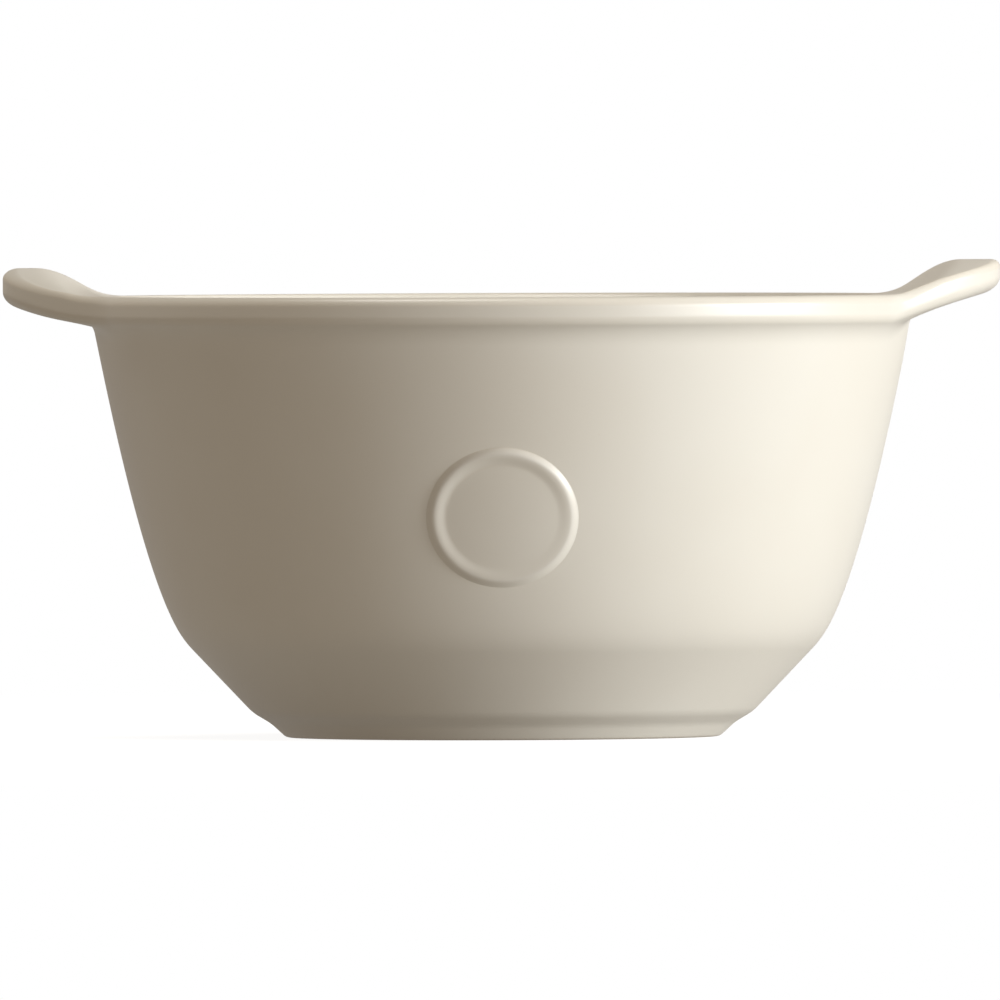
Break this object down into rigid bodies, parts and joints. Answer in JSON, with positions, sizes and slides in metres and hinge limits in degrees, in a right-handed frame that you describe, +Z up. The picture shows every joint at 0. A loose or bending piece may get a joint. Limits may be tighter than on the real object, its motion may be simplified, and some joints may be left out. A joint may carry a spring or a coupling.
{
  "type": "ovenproof lug bowl",
  "caption": "Deep round ovenproof bowl in glazed stoneware, with a rounded rim, ear-shaped lugs that rise from it, a raised roundel on the front and a small standing foot.",
  "frame": {"origin": "centre of the foot's standing face", "axes": "+Z up along the bowl's axis, +X towards the right lug, -Y towards the front with the roundel"},
  "size_m": [0.165, 0.139, 0.0787],
  "materials": {
    "clay": "unglazed fired clay, matt",
    "glaze": "ivory glaze, glossy"
  },
  "bodies": {
    "root": {"clay_body": "clay", "foot_ring": "clay", "rim_band": "glaze", "lug_right": "glaze", "lug_left": "glaze", "roundel": "glaze", "outer_glaze": "glaze", "inner_glaze": "glaze"}
  },
  "joints": []
}
